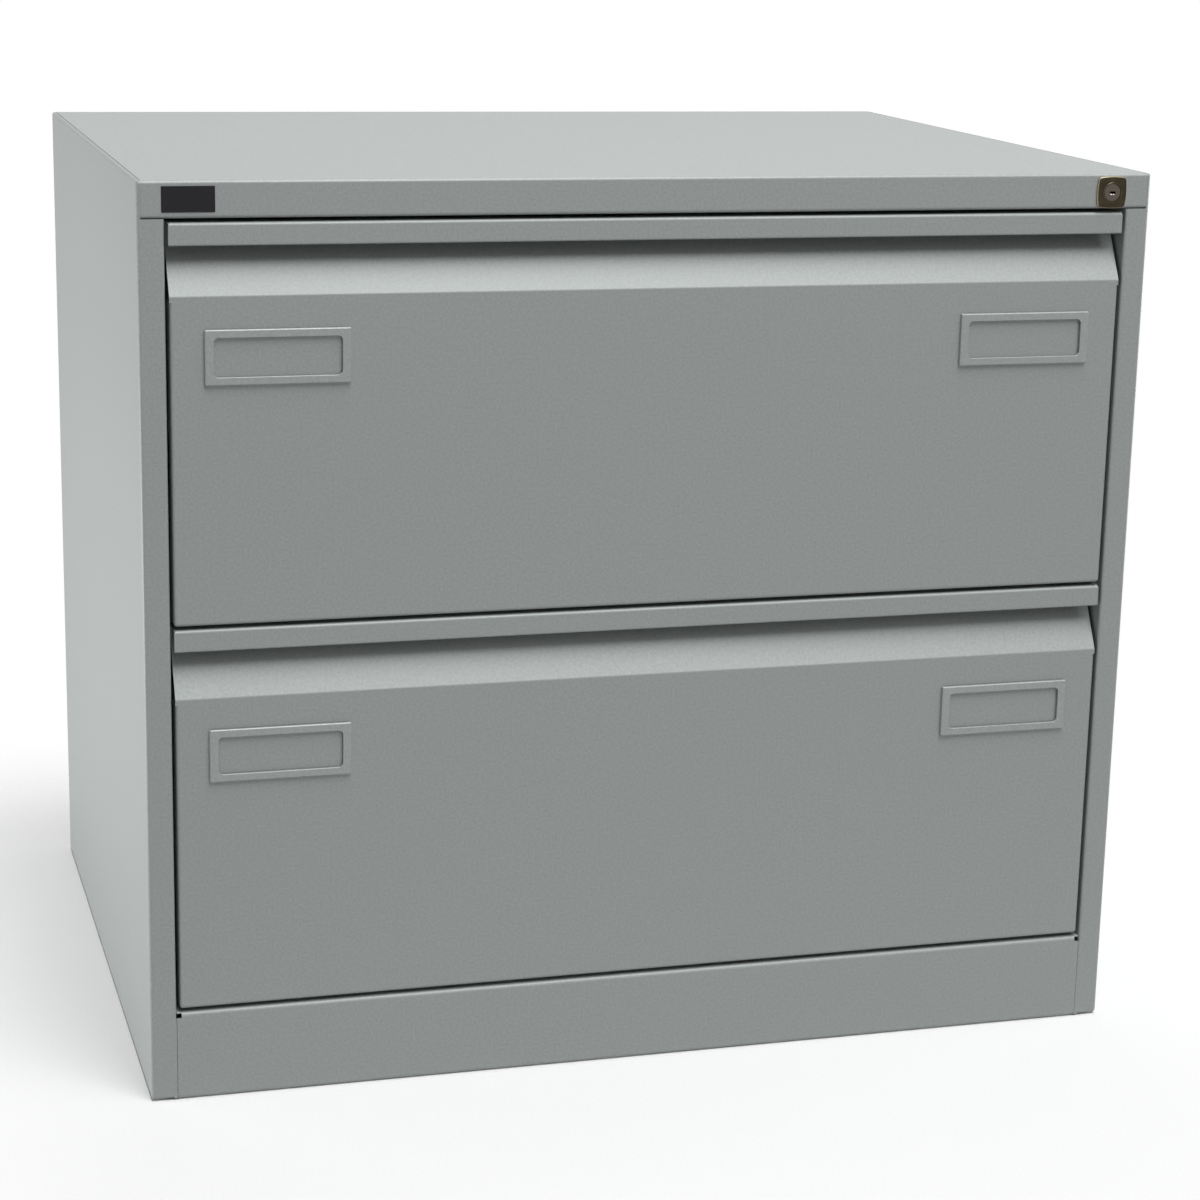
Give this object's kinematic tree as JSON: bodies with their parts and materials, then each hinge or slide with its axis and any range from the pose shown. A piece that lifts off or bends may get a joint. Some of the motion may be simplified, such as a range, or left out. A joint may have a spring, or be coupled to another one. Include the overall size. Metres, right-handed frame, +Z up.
{
  "type": "filing cabinet",
  "caption": "Low steel filing cabinet with wide drawers for side-by-side hanging files, full-width grip channels, card frames, telescopic slides and a cam lock in the top lip.",
  "frame": {"origin": "middle of the base on the floor, under the middle of the overall box", "axes": "+Z up, -Y the front with the drawers, +X to the right of someone facing the front"},
  "size_m": [0.8, 0.622, 0.711],
  "materials": {
    "silver_powder_coat": "fine-textured satin silver-grey powder coat on sheet steel",
    "zinc_plated_steel": "bright zinc-plated steel",
    "ball_steel": "polished bearing steel",
    "dark_bronze": "dark bronze plated die casting",
    "lock_plug_steel": "dull nickel-plated plug",
    "badge_black": "plain dark plate with no lettering"
  },
  "bodies": {
    "cabinet": {"left_side_panel": "silver_powder_coat", "right_side_panel": "silver_powder_coat", "top_panel": "silver_powder_coat", "back_panel": "silver_powder_coat", "front_plinth": "silver_powder_coat", "base_panel": "silver_powder_coat", "rear_base_rail": "silver_powder_coat", "left_front_post": "silver_powder_coat", "right_front_post": "silver_powder_coat", "left_rear_post": "silver_powder_coat", "right_rear_post": "silver_powder_coat", "slide_screws": "zinc_plated_steel", "lock_housing": "dark_bronze", "lock_nut": "zinc_plated_steel", "lock_bar_guides": "zinc_plated_steel", "badge_plate": "badge_black", "lower_left_slide_outer": "zinc_plated_steel", "lower_right_slide_outer": "zinc_plated_steel", "upper_left_slide_outer": "zinc_plated_steel", "upper_right_slide_outer": "zinc_plated_steel"},
    "lower_drawer": {"lower_front": "silver_powder_coat", "lower_inner_front": "silver_powder_coat", "lower_drawer_right_side": "silver_powder_coat", "lower_drawer_left_side": "silver_powder_coat", "lower_drawer_back": "silver_powder_coat", "lower_drawer_bottom": "silver_powder_coat", "lower_centre_rail": "silver_powder_coat", "lower_label_frames": "silver_powder_coat", "lower_drawer_screws": "zinc_plated_steel", "lower_lock_catch": "zinc_plated_steel", "lower_left_slide_inner": "zinc_plated_steel", "lower_right_slide_inner": "zinc_plated_steel"},
    "lower_slide_middles": {"lower_left_slide_middle": "zinc_plated_steel", "lower_right_slide_middle": "zinc_plated_steel"},
    "lower_outer_cages": {"lower_outer_cages": "zinc_plated_steel", "lower_outer_balls": "ball_steel"},
    "lower_inner_cages": {"lower_inner_cages": "zinc_plated_steel", "lower_inner_balls": "ball_steel"},
    "upper_drawer": {"upper_front": "silver_powder_coat", "upper_inner_front": "silver_powder_coat", "upper_drawer_right_side": "silver_powder_coat", "upper_drawer_left_side": "silver_powder_coat", "upper_drawer_back": "silver_powder_coat", "upper_drawer_bottom": "silver_powder_coat", "upper_centre_rail": "silver_powder_coat", "upper_label_frames": "silver_powder_coat", "upper_drawer_screws": "zinc_plated_steel", "upper_lock_catch": "zinc_plated_steel", "upper_left_slide_inner": "zinc_plated_steel", "upper_right_slide_inner": "zinc_plated_steel"},
    "upper_slide_middles": {"upper_left_slide_middle": "zinc_plated_steel", "upper_right_slide_middle": "zinc_plated_steel"},
    "upper_outer_cages": {"upper_outer_cages": "zinc_plated_steel", "upper_outer_balls": "ball_steel"},
    "upper_inner_cages": {"upper_inner_cages": "zinc_plated_steel", "upper_inner_balls": "ball_steel"},
    "lock_cylinder": {"lock_cylinder": "lock_plug_steel", "lock_cam": "zinc_plated_steel", "lock_cam_screw": "zinc_plated_steel"},
    "lock_bar": {"lock_bar": "zinc_plated_steel"}
  },
  "joints": [
    {"name": "lower_drawer_slide", "type": "slide", "parent": "cabinet", "child": "lower_drawer", "axis": [0, -1, 0], "range_m": [0, 0.52]},
    {"name": "lower_middle_slide", "type": "slide", "parent": "cabinet", "child": "lower_slide_middles", "axis": [0, -1, 0], "range_m": [0, 0.26]},
    {"name": "lower_outer_cage_slide", "type": "slide", "parent": "cabinet", "child": "lower_outer_cages", "axis": [0, -1, 0], "range_m": [0, 0.13]},
    {"name": "lower_inner_cage_slide", "type": "slide", "parent": "cabinet", "child": "lower_inner_cages", "axis": [0, -1, 0], "range_m": [0, 0.39]},
    {"name": "upper_drawer_slide", "type": "slide", "parent": "cabinet", "child": "upper_drawer", "axis": [0, -1, 0], "range_m": [0, 0.52]},
    {"name": "upper_middle_slide", "type": "slide", "parent": "cabinet", "child": "upper_slide_middles", "axis": [0, -1, 0], "range_m": [0, 0.26]},
    {"name": "upper_outer_cage_slide", "type": "slide", "parent": "cabinet", "child": "upper_outer_cages", "axis": [0, -1, 0], "range_m": [0, 0.13]},
    {"name": "upper_inner_cage_slide", "type": "slide", "parent": "cabinet", "child": "upper_inner_cages", "axis": [0, -1, 0], "range_m": [0, 0.39]},
    {"name": "lock_turn", "type": "hinge", "parent": "cabinet", "child": "lock_cylinder", "pos_m": [0.366, -0.308, 0.6964], "axis": [0, -1, 0], "range_deg": [0, 90]},
    {"name": "lock_bar_slide", "type": "slide", "parent": "cabinet", "child": "lock_bar", "axis": [0, 0, 1], "range_m": [0, 0.01414]}
  ],
  "couplings": [
    {"joint": "lower_middle_slide", "follows": "lower_drawer_slide", "ratio": 0.5},
    {"joint": "lower_outer_cage_slide", "follows": "lower_drawer_slide", "ratio": 0.25},
    {"joint": "lower_inner_cage_slide", "follows": "lower_drawer_slide", "ratio": 0.75},
    {"joint": "upper_middle_slide", "follows": "upper_drawer_slide", "ratio": 0.5},
    {"joint": "upper_outer_cage_slide", "follows": "upper_drawer_slide", "ratio": 0.25},
    {"joint": "upper_inner_cage_slide", "follows": "upper_drawer_slide", "ratio": 0.75},
    {"joint": "lock_turn", "follows": "lock_bar_slide", "rad_per_m": 111.07}
  ]
}
